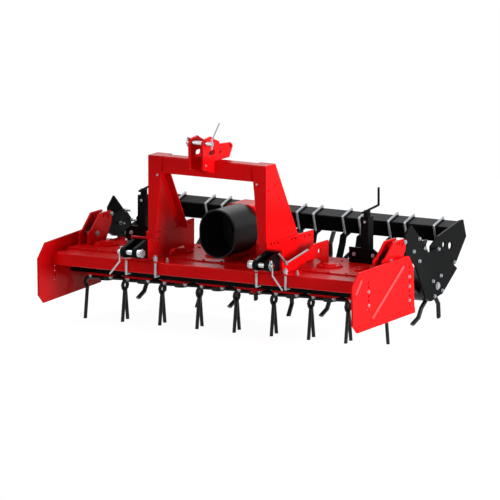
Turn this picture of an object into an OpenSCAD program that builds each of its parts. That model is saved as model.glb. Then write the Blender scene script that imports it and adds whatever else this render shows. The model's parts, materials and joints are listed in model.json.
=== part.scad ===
// Mounted power harrow: eight tined rotors under a gear trough, a headstock for a
// three-point linkage, and a spiked rear roller with a row of scrapers.
// Millimetres. +X is the machine's right-hand side, +Y the rear, +Z up.
// The origin is on the floor, in the middle of the machine's box. Places along Y are
// counted from the row of rotors and moved to the origin once, by in_frame().

/* [Rotors and tines] */
// Distance from one rotor to the next
rotor_pitch = 250; // [248:1:252]
// Diameter of a tine's round bar
tine_d = 21; // [15:1:22]
// Height of a tine's arm above the floor
tine_arm_z = 241; // [235:1:246]
// Greatest distance of a tine from its rotor's axis
tine_reach = 129; // [124:1:132]
// Radius of a rotor's tine holder
holder_r = 38; // [34:1:48]

/* [Trough and bars] */
// Half the length of the trough
trough_half = 1040; // [1030:1:1045]
// Height of the trough's top above the floor
trough_top_z = 428; // [424:1:432]
// Height of the trough's underside
trough_bottom_z = 286; // [282:1:290]
// Depth of the front bar's section
front_bar_d = 150; // [140:1:152]
// Height of the front and rear bars' sections
bar_h = 73; // [60:1:80]

/* [End plates] */
// Thickness of an end plate's sheet
end_plate_t = 8; // [5:1:8]
// Length of an end plate
end_plate_l = 731; // [700:1:740]
// Height of an end plate
end_plate_h = 372; // [350:1:380]

/* [Headstock] */
// Half the headstock's width, to the outside of its uprights
upright_x = 396; // [390:1:398]
// Thickness of the uprights' folded sheet
upright_t = 10; // [6:1:12]
// Width of an upright's front flange at the top
flange_w = 98; // [90:1:105]
// Height of the headstock's top above the floor
headstock_z = 1058; // [1040:1:1070]
// Depth of the headstock's cross tube
cross_w = 90; // [70:1:100]
// Height of the headstock's cross tube
cross_h = 102; // [80:1:110]

/* [Linkage pins] */
// Diameter of a lower link pin
lower_pin_d = 28; // [22:0.1:30]
// Diameter of the top link pin
top_pin_d = 25; // [19:0.1:26]

/* [Gearbox and drive guard] */
// Half-width of the oval guard
guard_r = 120; // [110:1:124]
// Length of the guard
guard_len = 266; // [220:1:270]
// Thickness of the guard's wall
guard_t = 6; // [4:1:10]
// Diameter of the drive shaft
shaft_d = 35; // [30:0.1:45]

/* [Rear roller] */
// Radius of the roller over its spikes
roller_r = 264; // [260:1:266]
// Radius of the roller's drum
drum_r = 95; // [85:1:98]
// Diameter of a spike's round bar
spike_d = 26; // [22:1:28]
// Distance from one ring of spikes to the next
ring_pitch = 307; // [300:1:310]
// Side of the scrapers' square beam
beam_w = 100; // [90:1:104]

/* [Levelling bar] */
// Distance from the middle to a levelling jack
jack_x = 750; // [740:1:760]
// Height of a jack's outer tube above the floor
jack_top_z = 710; // [690:1:730]
// Height of the levelling bar's plate
levelling_h = 115; // [90:1:118]

/* [Hidden] */
$fn = 48;
// Overrun of every cut
over = 1;
// Gap between round bars and the faces they lie on
seat_gap = 0.3;
// Radial gap of a shaft in its bore
run_gap = 0.05;
// How much wider than its bar a bent bar's corner is
corner_swell = 1.03;
quarter = 90;
whole_turn = 360;
sides = [-1, 1];

red = "#c4161a";
black = "#1c1d1f";
steel = "#c9ccd0";

// Rotors
rotor_total = 8;
// Angle of the tines' arms from the machine's cross direction
tine_angle = 11;
// A tine's line from the holder to below the floor: share of its reach outwards,
// share of its reach along the turn, share of its arm's height
tine_shares = [[0.15, 0, 1], [0.752, 0, 1], [0.887, 0, 0.981], [0.97, 0, 0.934], [1, 0, 0.867],
               [0.97, 0.01, 0.805], [0.901, 0.023, 0.751], [0.9395, 0.226, -0.05]];
holder_h = 22;
rotor_stub_r = 30;
ring_half = 85;
ring_h = 20;
rotor_x = [for (i = [0 : rotor_total - 1]) (i - (rotor_total - 1) / 2) * rotor_pitch];

// Trough
trough_half_d = 200;
trough_low_half_d = 122;
cover_t = 8;
cover_inset = 10;
cover_half = trough_half - cover_inset;
cover_front_y = -195;
cover_top_z = trough_top_z + cover_t;
disc_r = 76;
disc_h = 11;
cap_r = 40;
cap_h = 19;
drain_x = 176;
drain_y = -104;
drain_r = 16;
drain_h = 28;
bar_low_z = trough_top_z - bar_h;
front_bar_y = -350;
front_bar_inset = 40;
front_bar_half = trough_half - front_bar_inset;
bar_edge_r = 10;
rear_bar_inset = 95;
rear_bar_half = trough_half - rear_bar_inset;
rear_bar_y = 285;
lug_w = 60;
rear_lug_shift = 14;

// U-bolts round the front bar
clamp_d = 16;
clamp_xs = [340, 535];
clamp_back_y = -318;
clamp_top_z = 466;
clamp_nut_r = 13;
clamp_nut_h = 13;
clamp_ear_w = 44;
clamp_ear_reach = 28;

// End plates
end_plate_gap = 9;
end_plate_x = trough_half + end_plate_gap;
end_plate_y = -489;
end_plate_z = 140;
end_plate_shares = [[0, 0.737], [0.107, 0.949], [0.867, 1], [0.914, 0.981], [0.979, 0.801], [1, 0.067],
                    [0.086, 0], [0.01, 0.132]];
fold_h = 3;
// Strips of an end plate's folded front and lower edges
front_fold_shares = [[0, 0.737], [0.025, 0.737], [0.034, 0.135], [0.01, 0.132]];
lower_fold_shares = [[0.086, 0], [0.075, 0.085], [0.999, 0.15], [1, 0.067]];
rib_h = 6;
rib_w = 28;
rib_r = (rib_w * rib_w / 4 + rib_h * rib_h) / (2 * rib_h);
// Ribs as first and last point, in shares of the plate
rib_shares = [[[0.817, 0.849], [0.318, 0.165]], [[0.148, 0.82], [0.056, 0.613]]];
hole_r = 8;
// Rows of holes in an end plate: share of its length, shares of its height
hole_row_shares = [[0.264, 0.32, 0.755], [0.914, 0.21, 0.809]];
hole_row_n = [7, 9];
function hole_row_y(i) = end_plate_y + hole_row_shares[i][0] * end_plate_l;
function hole_z(i, k) = end_plate_z + end_plate_h * (hole_row_shares[i][1]
    + (hole_row_shares[i][2] - hole_row_shares[i][1]) * k / (hole_row_n[i] - 1));

// Headstock
upright_y = -345;
upright_low_z = 565;
upright_rear_z = 575;
tube_edge_r = 12;
upright_top_d = 110;
upright_low_d = 391;
flange_low_w = 46;
rear_flange_w = 46;
web_hole_r = 6;
// Holes in an upright's web: share of its depth at the foot, share of its height
web_hole_shares = [[0.062, 0.964], [0.283, 0.742], [0.07, 0.7]];
base_t = 10;
base_y = -350;
base_rear_y = 193;
base_top_z = 605;
base_outer_x = 497;
base_foot_in_x = 322;
base_foot_out_x = 555;
base_foot_rear_y = -205;
base_foot_t = 8;
base_front_t = 12;
base_front_z = 572;
// Outer cheek of a base: share of its length, share of its height
cheek_shares = [[0, 0], [0, 0.54], [0.127, 0.42], [0.58, 0.773], [0.667, 1], [1, 1], [1, 0], [0.87, 0],
                [0.768, 0.252], [0.42, 0.252], [0.3, 0]];
// Inner cheek of a base, arched over a bearing cover
inner_cheek_shares = [[0, 0], [0, 1], [1, 1], [1, 0], [0.83, 0], [0.8, 0.16], [0.49, 0.16], [0.46, 0]];
cheek_top_z = 555;
cheek_hole_y = 85;
cheek_hole_z = 505;
cheek_hole_r = 14;
base_hole_r = 8;
// Bolt holes of a base's inner cheek: share of its length, share of its height
base_hole_shares = [[0.092, 0.925], [0.162, 0.917], [0.232, 0.909], [0.092, 0.65], [0.162, 0.642],
                    [0.232, 0.634], [0.53, 0.909], [0.608, 0.9], [0.801, 0.86], [0.902, 0.86]];
base_holes = outline(base_hole_shares, base_y, trough_top_z + base_foot_t, base_rear_y - base_y,
                     base_top_z - trough_top_z - base_foot_t);

// Linkage
lower_pin_y = -472;
lower_pin_z = 496;
ear_r = 33;
ear_t = 20;
ear_xs = [395, 472];
clevis_t = 10;
clevis_low_z = 451;
clevis_top_z = 562;
pin_in_x = 368;
pin_out_x = 521;
nut_r = 23;
nut_w = 20;
handle_d = 10;
handle_x = 514;
handle_drop = 57;
handle_out = 66;
handle_fall = 80;
hitch_x = 38;
hitch_t = 12;
hitch_y = -481;
hitch_l = 351;
hitch_z = 985;
hitch_h = 225;
hitch_shares = [[0.017, 0.178], [0, 0.876], [0.054, 0.969], [0.274, 1], [0.359, 0.924], [0.544, 0.818],
                [0.561, 0.747], [0.932, 0.702], [1, 0.604], [0.883, 0.324]];
top_pin_y = -452;
top_pin_z = 1177;
top_pin_in_x = -75;
top_pin_out_x = 100;
top_handle_x = 93;
top_handle_half = 30;
top_handle_d = 12;
top_rod_d = 8;
top_rod_out = 53;
top_rod_rise = 103;
// Slot of the hitch plates and their rear hole
slot_ys = [-395, -355];
slot_z = 1112;
slot_r = 14;
// Holes behind the slot: share of the plates' length, share of their height
hitch_hole_shares = [[0.578, 0.533], [0.915, 0.62]];
hitch_hole_rs = [9, 10];

// Gearbox and drive
drive_z = 606;
guard_shift = 22;
guard_rear_y = 40;
gearbox_half_w = 110;
gearbox_rear_y = 200;
gearbox_top_z = 745;
disc_gap = 4;
gearbox_r = 60;
shaft_front_y = -80;
shaft_rear_y = 100;
collar_r = 42;
collar_len = 30;
collar_gap = 2;
guard_hole_gap = 6;

// Roller arms and their brackets
pivot_y = 15;
pivot_z = 493;
pivot_r = 15;
arm_inset = 69;
arm_x = trough_half - arm_inset;
arm_t = 20;
eye_r = 40;
// Outline of an arm behind its eye
arm_z = 428;
arm_l = 453;
arm_h = 154;
arm_shares = [[0, 0.1623], [0.4194, 0.2597], [0.5453, 0.0779], [0.8366, 0], [1, 0.5195], [0.8278, 1],
              [0.4411, 0.9701], [0.298, 0.9701], [0, 0.6812]];
bracket_insets = [87, 29];
bracket_xs = [for (inset = bracket_insets) trough_half - inset];
bracket_t = 10;
bracket_y = -72;
bracket_l = 272;
bracket_h = 169;
bracket_shares = [[0, 0], [0, 0.4], [0.07, 0.49], [0.125, 0.49], [0.49, 1], [0.95, 1], [1, 0.86],
                  [0.98, 0.6], [0.74, 0]];
depth_pin_y = 180;
depth_pin_z = 587;
depth_pin_r = 9;
depth_holes = [[100, 585], [128, 585], [156, 572]];
depth_hole_r = 9;
pin_reach = 9;

// Roller frame
side_t = 12;
side_y = 225;
side_l = 606;
side_z = 186;
side_h = 486;
side_shares = [[0.114, 1], [0, 0.877], [0.007, 0.648], [0.196, 0.493], [0.398, 0.053], [0.48, 0],
               [0.719, 0.05], [1, 0.307], [0.594, 0.629], [0.446, 0.589], [0.413, 0.673]];
beam_y = 865;
beam_z = 540;
beam_turn = 17;
beam_wall = 8;
beam_plate_t = 12;
beam_half = arm_x + arm_t - beam_plate_t;
beam_edge_r = 8;
beam_plate_y = 545;
beam_plate_l = 412;
beam_plate_z = 351;
beam_plate_h = 256;
beam_plate_shares = [[0, 0.602], [0.204, 0.781], [0.82, 1], [0.917, 1], [1, 0.598], [0.7, 0.039], [0.605, 0],
                     [0, 0.496]];
beam_hole_shares = [[0.368, 0.555], [0.549, 0.492]];
beam_hole_rs = [18, 24];

// Roller
roller_y = 601;
roller_z = roller_r;
drum_inset = 80;
drum_half = trough_half - drum_inset;
stub_r = 25;
ring_total = 7;
spikes_per_ring = 5;
// A spike's line from root to beyond its tip: angle from straight down to the front,
// share of the roller's radius
spike_shares = [[-26, 0.341], [0, 0.53], [4, 0.758], [17.5, 1.046]];
spike_tip_angle = 16;

// Scrapers
scraper_offset = 55;
scraper_xs = [scraper_offset, ring_pitch - scraper_offset, ring_pitch + scraper_offset,
              2 * ring_pitch - scraper_offset, 2 * ring_pitch + scraper_offset,
              3 * ring_pitch - scraper_offset];
scraper_w = 40;
scraper_t = 10;
scraper_y = 707;
scraper_l = 99;
scraper_z = 277;
scraper_h = 188;
// Middle line of a scraper from its foot to its tip
scraper_shares = [[1, 1], [0.869, 0.75], [0.505, 0.351], [0.111, 0.096], [0, 0]];
foot_t = 12;
foot_front = -84;
foot_rear = 76;
scraper_clamp_d = 14;
clamp_end = 16;

// Levelling jacks and bar
jack_y = 189;
jack_w = 50;
jack_d = 60;
jack_wall = 6;
jack_foot_w = 200;
jack_foot_z = 528;
jack_cut_w = 41;
jack_cut_h = 26;
jack_foot_t = 9;
jack_foot_rear_y = 283;
ram_w = 36;
ram_d = 34;
ram_y = 206;
ram_gap = 0.3;
ram_hole_gap = 5;
ram_top_z = 660;
levelling_inset = 55;
levelling_half = trough_half - levelling_inset;
levelling_z = 200;
levelling_y = 235;
levelling_t = 8;
levelling_lip = 38;
screw_r = 20;
screw_h = 35;
crank_d = 14;
crank_front_y = 166;
crank_rear_y = 353;
crank_slope = 19;
crank_rise = 104;

// Middle of the machine's box along Y
front_reach_y = lower_pin_y - ear_r;
rear_reach_y = beam_plate_y + beam_plate_l;
origin_y = -(front_reach_y + rear_reach_y) / 2;

// Helpers

function unit(v) = v / norm(v);

// Points of an outline given as shares of a box
function outline(shares, y, z, l, h) = [for (s = shares) [y + s[0] * l, z + s[1] * h]];

// Direction across a line of points at its i-th point
function across(line, i) =
    let (d = unit(line[min(i + 1, len(line) - 1)] - line[max(i - 1, 0)])) [-d[1], d[0]];

// Outline of a strip of width t along a line of points
function strip(line, t) = concat(
    [for (i = [0 : len(line) - 1]) line[i] + across(line, i) * t / 2],
    [for (i = [len(line) - 1 : -1 : 0]) line[i] - across(line, i) * t / 2]);

module in_frame() {
    translate([0, origin_y, 0]) children();
}

// Draws its children for the right-hand side, or mirrored for the left
module on_side(side) {
    mirror([side < 0 ? 1 : 0, 0, 0]) children();
}

// A block between two corners
module block(low, high) {
    translate(low) cube(high - low);
}

// A plate in the Y-Z plane, from x to x + t
module plate_yz(points, x, t) {
    translate([x, 0, 0]) rotate([quarter, 0, quarter]) linear_extrude(t) polygon(points);
}

// A cylinder along X, from x0 to x1
module rod_x(x0, x1, y, z, r) {
    translate([x0, y, z]) rotate([0, quarter, 0]) cylinder(h = x1 - x0, r = r);
}

// A straight round bar between two points
module straight(a, b, d) {
    v = b - a;
    translate(a) rotate([0, acos(v[2] / norm(v)), atan2(v[1], v[0])]) cylinder(h = norm(v), d = d);
}

// A beam along X with rounded edges, from -half to half
module rounded_beam(half, y, z, depth, height, r) {
    translate([-half, y, z]) rotate([quarter, 0, quarter]) linear_extrude(2 * half) union() {
        translate([0, r]) square([depth, height - 2 * r]);
        translate([r, 0]) square([depth - 2 * r, height]);
        for (p = [r, depth - r], q = [r, height - r]) translate([p, q]) circle(r = r);
    }
}

// A round bar along a line of points, rounded at every corner
module bar(points, d) {
    n = len(points);
    for (i = [0 : n - 2]) {
        straight(points[i], points[i + 1], d);
        if (i > 0) translate(points[i]) sphere(d = d * corner_swell);
    }
}

// Trough, cover and bars

module trough() {
    d = trough_half_d;
    lug_y = hole_row_y(1) - rear_lug_shift;
    color(red) union() {
        block([-trough_half, -d, bar_low_z], [trough_half, d, trough_top_z]);
        for (side = sides) on_side(side)
            block([trough_half - over, lug_y - lug_w / 2, bar_low_z],
                  [end_plate_x, lug_y + lug_w / 2, trough_top_z]);
    }
}

module trough_floor() {
    d = trough_low_half_d;
    color(black) block([-trough_half, -d, trough_bottom_z], [trough_half, d, bar_low_z]);
}

module cover() {
    color(red) difference() {
        union() {
            block([-cover_half, cover_front_y, trough_top_z], [cover_half, trough_half_d, cover_top_z]);
            block([-rear_bar_half, trough_half_d - over, trough_top_z],
                  [rear_bar_half, rear_bar_y, cover_top_z]);
            for (x = rotor_x) {
                translate([x, 0, trough_top_z]) cylinder(h = cover_t + disc_h, r = disc_r);
                translate([x, 0, trough_top_z]) cylinder(h = cover_t + cap_h, r = cap_r);
            }
        }
        ram_holes();
    }
}

// Slots that the levelling rams pass through
module ram_holes() {
    g = ram_hole_gap;
    for (side = sides) on_side(side)
        block([jack_x - ram_w / 2 - g, ram_y - g, bar_low_z - over],
              [jack_x + ram_w / 2 + g, ram_y + ram_d + g, cover_top_z + over]);
}

module front_bar() {
    lug_y = hole_row_y(0);
    color(red) union() {
        rounded_beam(front_bar_half, front_bar_y, bar_low_z, front_bar_d, bar_h, bar_edge_r);
        for (side = sides) on_side(side)
            block([front_bar_half - over, lug_y - lug_w / 2, bar_low_z],
                  [end_plate_x, lug_y + lug_w / 2, trough_top_z]);
    }
}

module rear_bar() {
    color(red) difference() {
        block([-rear_bar_half, trough_half_d, bar_low_z], [rear_bar_half, rear_bar_y, trough_top_z]);
        ram_holes();
    }
}

// Hook bolts that hold the headstock's bases on the front bar
clamp_y = front_bar_y - clamp_d / 2 - seat_gap;

module bar_clamps() {
    low = bar_low_z - clamp_d / 2 - seat_gap;
    color(steel) for (side = sides, x = clamp_xs) on_side(side) {
        bar([[x, clamp_y, clamp_top_z], [x, clamp_y, low], [x, clamp_back_y, low]], clamp_d);
        translate([x, clamp_y, trough_top_z + base_foot_t]) cylinder(h = clamp_nut_h, r = clamp_nut_r);
    }
}

module bearing_flanges() {
    h = ring_half;
    color(red) for (x = rotor_x) translate([x, 0, trough_bottom_z - ring_h]) difference() {
        block([-h, -h, 0], [h, h, ring_h]);
        translate([0, 0, -over]) cylinder(h = ring_h + 2 * over, r = rotor_stub_r + run_gap);
    }
    color(red) translate([drain_x, drain_y, trough_bottom_z - drain_h]) cylinder(h = drain_h, r = drain_r);
}

// End plates

module end_plate(side) {
    x = end_plate_x + end_plate_t;
    color(red) on_side(side) difference() {
        union() {
            plate_yz(outline(end_plate_shares, end_plate_y, end_plate_z, end_plate_l, end_plate_h),
                     end_plate_x, end_plate_t);
            for (fold = [front_fold_shares, lower_fold_shares])
                plate_yz(outline(fold, end_plate_y, end_plate_z, end_plate_l, end_plate_h),
                         x - over, fold_h + over);
            intersection() {
                for (rib = rib_shares) end_plate_rib(x, rib);
                block([x - over, end_plate_y, end_plate_z],
                      [x + rib_r, end_plate_y + end_plate_l, end_plate_z + end_plate_h]);
            }
        }
        for (i = [0 : len(hole_row_n) - 1], k = [0 : hole_row_n[i] - 1])
            rod_x(end_plate_x - over, x + over, hole_row_y(i), hole_z(i, k), hole_r);
    }
}

// A rib's whole round bar, of which the part outside the plate's face x stays
module end_plate_rib(x, rib) {
    ends = [for (p = outline(rib, end_plate_y, end_plate_z, end_plate_l, end_plate_h))
            [x + rib_h - rib_r, p[0], p[1]]];
    straight(ends[0], ends[1], 2 * rib_r);
    for (p = ends) translate(p) sphere(r = rib_r * corner_swell);
}

// Headstock

module upright(side) {
    rear_top = upright_y + upright_top_d;
    rear_low = upright_y + upright_low_d;
    t = upright_t;
    holes = outline(web_hole_shares, upright_y, upright_low_z, upright_low_d, headstock_z - upright_low_z);
    color(red) on_side(side) union() {
        difference() {
            plate_yz([[upright_y, upright_low_z], [upright_y, headstock_z], [rear_top, headstock_z],
                      [rear_low, upright_rear_z]], upright_x - t, t);
            for (h = holes) rod_x(upright_x - t - over, upright_x + over, h[0], h[1], web_hole_r);
            for (h = base_holes) if (h[1] > upright_low_z)
                rod_x(upright_x - t - over, upright_x + over, h[0], h[1], base_hole_r);
        }
        block([upright_x - flange_w, upright_y, headstock_z - t], [upright_x, rear_top, headstock_z]);
        translate([0, upright_y + t, 0]) rotate([quarter, 0, 0]) linear_extrude(t)
            polygon([[upright_x, upright_low_z], [upright_x, headstock_z],
                     [upright_x - flange_w, headstock_z], [upright_x - flange_low_w, upright_low_z]]);
        plate_yz([[rear_top - t, headstock_z], [rear_top, headstock_z], [rear_low, upright_rear_z],
                  [rear_low - t, upright_rear_z]], upright_x - rear_flange_w, rear_flange_w);
    }
}

// Tube between the uprights' flanges, narrowed at its ends to pass behind them
module cross_tube() {
    half = upright_x - upright_t;
    low = headstock_z - cross_h;
    r = tube_edge_r;
    color(red) union() {
        rounded_beam(upright_x - flange_w, upright_y, low, cross_w, cross_h, r);
        block([-half, upright_y + upright_t, low + r], [half, upright_y + cross_w - r, headstock_z - r]);
    }
}

// Headstock's base on one side: foot on the front bar, two cheeks and a front plate
module base(side) {
    low = trough_top_z + base_foot_t;
    length = base_rear_y - base_y;
    color(red) on_side(side) difference() {
        union() {
            block([base_foot_in_x, base_y, trough_top_z], [base_foot_out_x, base_foot_rear_y, low]);
            for (x = clamp_xs) block([x - clamp_ear_w / 2, base_y - clamp_ear_reach, trough_top_z],
                                     [x + clamp_ear_w / 2, base_y + over, low]);
            plate_yz(outline(inner_cheek_shares, base_y, low - over, length, base_top_z - low + over),
                     upright_x, base_t);
            plate_yz(outline(cheek_shares, base_y, low - over, length, cheek_top_z - low),
                     base_outer_x, base_t);
            block([upright_x, base_y, low - over],
                  [base_outer_x + base_t, base_y + base_front_t, base_front_z]);
        }
        for (x = clamp_xs) translate([x, clamp_y, trough_top_z - over])
            cylinder(h = base_foot_t + 2 * over, r = clamp_d / 2 + seat_gap);
        for (h = base_holes) rod_x(upright_x - over, upright_x + base_t + over, h[0], h[1], base_hole_r);
        rod_x(base_outer_x - over, base_outer_x + base_t + over, cheek_hole_y, cheek_hole_z, cheek_hole_r);
        block([upright_x - over, base_foot_rear_y, trough_top_z - over],
              [base_outer_x + base_t + over, base_rear_y + over, low]);
    }
}

module top_hitch() {
    tube_rear = upright_y + cross_w;
    pts = concat(outline(hitch_shares, hitch_y, hitch_z, hitch_l, hitch_h),
                 [[tube_rear, headstock_z], [upright_y, headstock_z], [upright_y, hitch_z]]);
    holes = outline(hitch_hole_shares, hitch_y, hitch_z, hitch_l, hitch_h);
    from = hitch_x - over;
    to = hitch_x + hitch_t + over;
    color(red) for (side = sides) on_side(side) difference() {
        plate_yz(pts, hitch_x, hitch_t);
        rod_x(from, to, top_pin_y, top_pin_z, top_pin_d / 2 + run_gap);
        for (y = slot_ys) rod_x(from, to, y, slot_z, slot_r);
        block([from, slot_ys[0], slot_z - slot_r], [to, slot_ys[1], slot_z + slot_r]);
        for (i = [0 : len(holes) - 1]) rod_x(from, to, holes[i][0], holes[i][1], hitch_hole_rs[i]);
    }
}

module top_pin() {
    x = top_handle_x;
    color(steel) union() {
        rod_x(top_pin_in_x, top_pin_out_x, top_pin_y, top_pin_z, top_pin_d / 2);
        bar([[x, top_pin_y, top_pin_z - top_handle_half], [x, top_pin_y, top_pin_z + top_handle_half]],
            top_handle_d);
        bar([[x, top_pin_y, top_pin_z + top_handle_half - top_rod_d],
             [x + top_rod_out, top_pin_y, top_pin_z + top_handle_half + top_rod_rise]], top_rod_d);
    }
}

module clevis(side) {
    color(black) on_side(side) difference() {
        union() {
            for (x = ear_xs) {
                plate_yz([[lower_pin_y, lower_pin_z + ear_r], [base_y, clevis_top_z], [base_y, clevis_low_z],
                          [lower_pin_y, lower_pin_z - ear_r]], x, ear_t);
                rod_x(x, x + ear_t, lower_pin_y, lower_pin_z, ear_r);
            }
            block([ear_xs[0], base_y - clevis_t, clevis_low_z], [ear_xs[1] + ear_t, base_y, clevis_top_z]);
        }
        rod_x(ear_xs[0] - over, ear_xs[1] + ear_t + over, lower_pin_y, lower_pin_z,
              lower_pin_d / 2 + run_gap);
    }
}

module lower_pin(side) {
    x = handle_x;
    color(steel) on_side(side) union() {
        rod_x(pin_in_x, pin_out_x, lower_pin_y, lower_pin_z, lower_pin_d / 2);
        rod_x(pin_in_x, pin_in_x + nut_w, lower_pin_y, lower_pin_z, nut_r);
        bar([[x, lower_pin_y, lower_pin_z], [x, lower_pin_y, lower_pin_z - handle_drop],
             [x + handle_out, lower_pin_y, lower_pin_z - handle_drop - handle_fall]], handle_d);
    }
}

// Gearbox, guard and drive shaft

module gearbox() {
    w = gearbox_half_w;
    h = gearbox_top_z - cover_top_z;
    color(red) difference() {
        translate([0, gearbox_rear_y, 0]) rotate([quarter, 0, 0])
            linear_extrude(gearbox_rear_y - guard_rear_y) union() {
                translate([-w, cover_top_z]) square([2 * w, h - gearbox_r]);
                translate([gearbox_r - w, cover_top_z]) square([2 * (w - gearbox_r), h]);
                for (side = sides)
                    translate([side * (w - gearbox_r), gearbox_top_z - gearbox_r]) circle(r = gearbox_r);
            }
        for (x = rotor_x) translate([x, 0, cover_top_z - over])
            cylinder(h = disc_h + disc_gap + over, r = disc_r + disc_gap);
        translate([0, shaft_rear_y, drive_z]) rotate([quarter, 0, 0])
            cylinder(h = shaft_rear_y - guard_rear_y + over, r = shaft_d / 2 + run_gap);
    }
}

// An upright oval from the plane y = 0 to the front
module oval(r, length) {
    rotate([quarter, 0, 0]) linear_extrude(length) union() {
        for (s = sides) translate([0, s * guard_shift]) circle(r = r);
        translate([-r, -guard_shift]) square([2 * r, 2 * guard_shift]);
    }
}

module pto_guard() {
    color(black) translate([0, guard_rear_y, drive_z]) difference() {
        oval(guard_r, guard_len);
        translate([0, -guard_t, 0]) oval(guard_r - guard_t, guard_len);
        translate([0, over, 0]) rotate([quarter, 0, 0])
            cylinder(h = guard_t + 2 * over, r = collar_r + guard_hole_gap);
    }
}

module pto_shaft() {
    color(steel) translate([0, 0, drive_z]) rotate([quarter, 0, 0]) union() {
        translate([0, 0, over - shaft_rear_y])
            cylinder(h = shaft_rear_y - shaft_front_y - over, d = shaft_d);
        translate([0, 0, collar_gap - guard_rear_y]) cylinder(h = collar_len, r = collar_r);
    }
}

// Rotors

module tine() {
    points = [for (s = tine_shares) [s[0] * tine_reach, s[1] * tine_reach, s[2] * tine_arm_z]];
    tip = points[len(points) - 1];
    box = 2 * tine_d;
    difference() {
        bar(points, tine_d);
        translate([tip[0], tip[1], -box / 2]) cube([2 * box, 2 * box, box], center = true);
    }
}

module rotor(number) {
    stub_top = trough_bottom_z - over;
    color(black) translate([rotor_x[number - 1], 0, 0]) union() {
        translate([0, 0, tine_arm_z - holder_h / 2]) cylinder(h = holder_h, r = holder_r);
        translate([0, 0, tine_arm_z]) cylinder(h = stub_top - tine_arm_z, r = rotor_stub_r);
        for (turn = [tine_angle, tine_angle + 2 * quarter]) rotate(turn) tine();
    }
}

// Levelling jacks and bar

module jack(side) {
    x0 = jack_x - jack_w / 2;
    half = jack_foot_w / 2;
    t = jack_foot_t;
    low = cover_top_z;
    cut_z = jack_foot_z - jack_cut_h;
    color(black) on_side(side) difference() {
        union() {
            block([x0, jack_y, low], [x0 + jack_w, jack_y + jack_d, jack_top_z]);
            translate([jack_x, jack_y, 0]) rotate([quarter, 0, 0]) linear_extrude(t)
                polygon([[-half, low], [-half, jack_foot_z], [half - jack_cut_w, jack_foot_z], [half, cut_z],
                         [half, low]]);
            block([jack_x - half, jack_y - over, low], [jack_x + half, jack_foot_rear_y, low + t]);
            for (x = [jack_x - half, jack_x + half - t])
                plate_yz([[jack_y - over, low], [jack_y - over, cut_z], [jack_foot_rear_y, low + t],
                          [jack_foot_rear_y, low]], x, t);
        }
        block([jack_x - ram_w / 2 - ram_gap, ram_y - ram_gap, cover_top_z - over],
              [jack_x + ram_w / 2 + ram_gap, ram_y + ram_d + ram_gap, jack_top_z - jack_wall]);
    }
}

module crank(side) {
    y0 = jack_y + jack_d / 2;
    z = jack_top_z + screw_h - crank_d / 2;
    end = z + crank_slope;
    color(black) on_side(side) union() {
        translate([jack_x, y0, jack_top_z]) cylinder(h = screw_h, r = screw_r);
        bar([[jack_x, crank_front_y, z], [jack_x, crank_rear_y, end],
             [jack_x, crank_rear_y, end + crank_rise]], crank_d);
    }
}

module levelling_bar() {
    top = levelling_z + levelling_h;
    color(black) union() {
        block([-levelling_half, levelling_y, levelling_z], [levelling_half, levelling_y + levelling_t, top]);
        block([-levelling_half, levelling_y, levelling_z],
              [levelling_half, levelling_y + levelling_lip, levelling_z + levelling_t]);
        block([-levelling_half, ram_y, top - levelling_t], [levelling_half, levelling_y + levelling_t, top]);
        for (side = sides) on_side(side)
            block([jack_x - ram_w / 2, ram_y, top - over], [jack_x + ram_w / 2, ram_y + ram_d, ram_top_z]);
    }
}

// Roller arms, their brackets and pins

module arm_bracket(side) {
    color(red) on_side(side) difference() {
        for (x = bracket_xs)
            plate_yz(outline(bracket_shares, bracket_y, cover_top_z, bracket_l, bracket_h), x, bracket_t);
        for (x = bracket_xs) {
            rod_x(x - over, x + bracket_t + over, pivot_y, pivot_z, pivot_r + run_gap);
            rod_x(x - over, x + bracket_t + over, depth_pin_y, depth_pin_z, depth_pin_r + run_gap);
            for (h = depth_holes) rod_x(x - over, x + bracket_t + over, h[0], h[1], depth_hole_r);
        }
    }
}

module arm_pins() {
    from = bracket_xs[0] - pin_reach;
    to = bracket_xs[1] + bracket_t + pin_reach;
    color(steel) for (side = sides) on_side(side) {
        rod_x(from, to, pivot_y, pivot_z, pivot_r);
        rod_x(from, to, depth_pin_y, depth_pin_z, depth_pin_r);
    }
}

module arm(side) {
    color(black) on_side(side) difference() {
        union() {
            rod_x(arm_x, arm_x + arm_t, pivot_y, pivot_z, eye_r);
            plate_yz(outline(arm_shares, pivot_y, arm_z, arm_l, arm_h), arm_x, arm_t);
        }
        rod_x(arm_x - over, arm_x + arm_t + over, pivot_y, pivot_z, pivot_r + run_gap);
    }
}

// Roller frame

module side_plate(side) {
    x = arm_x + arm_t;
    color(black) on_side(side) difference() {
        plate_yz(outline(side_shares, side_y, side_z, side_l, side_h), x, side_t);
        rod_x(x - over, x + side_t + over, roller_y, roller_z, stub_r + run_gap);
    }
}

// Draws its children in the scraper beam's own frame
module on_beam(x) {
    translate([x, beam_y, beam_z]) rotate([beam_turn, 0, 0]) children();
}

module scraper_beam() {
    w = beam_w / 2;
    holes = outline(beam_hole_shares, beam_plate_y, beam_plate_z, beam_plate_l, beam_plate_h);
    color(black) union() {
        on_beam(0) rounded_beam(beam_half + over, -w, -w, beam_w, beam_w, beam_edge_r);
        for (side = sides) on_side(side) difference() {
            plate_yz(outline(beam_plate_shares, beam_plate_y, beam_plate_z, beam_plate_l, beam_plate_h),
                     beam_half, beam_plate_t);
            for (i = [0 : len(holes) - 1])
                rod_x(beam_half - over, beam_half + beam_plate_t + over, holes[i][0], holes[i][1],
                      beam_hole_rs[i]);
        }
    }
}

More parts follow.
